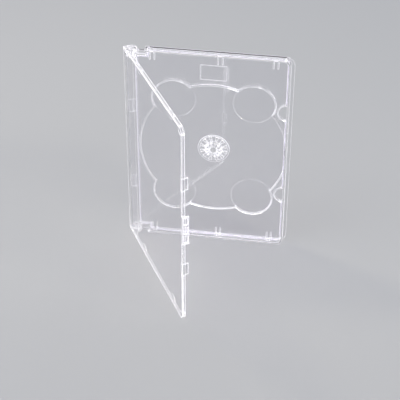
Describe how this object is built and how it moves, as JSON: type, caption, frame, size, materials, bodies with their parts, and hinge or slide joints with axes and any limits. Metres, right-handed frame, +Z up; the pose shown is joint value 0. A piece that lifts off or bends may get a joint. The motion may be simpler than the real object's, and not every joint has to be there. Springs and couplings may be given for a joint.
{
  "type": "cd jewel case",
  "caption": "Tall clear hinged disc case standing open, with a snap-in tray that holds one optical disc on a fingered hub.",
  "frame": {"origin": "centre of the open case's footprint, on the surface that it stands on", "axes": "+Z up along the hinge, +X from the spine to the back cover's free edge, -Y out of the disc tray towards the viewer"},
  "size_m": [0.1398, 0.1216, 0.184],
  "materials": {
    "clear_cover": "gloss",
    "clear_tray": "gloss"
  },
  "bodies": {
    "case": {"back_cover": "clear_cover", "disc_tray": "clear_tray"},
    "cover": {"front_cover": "clear_cover"}
  },
  "joints": [
    {"name": "cover_hinge", "type": "hinge", "parent": "case", "child": "cover", "pos_m": [-0.06257, 0.05625, 0.092], "axis": [0, 0, 1], "range_deg": [-120, 60]}
  ]
}
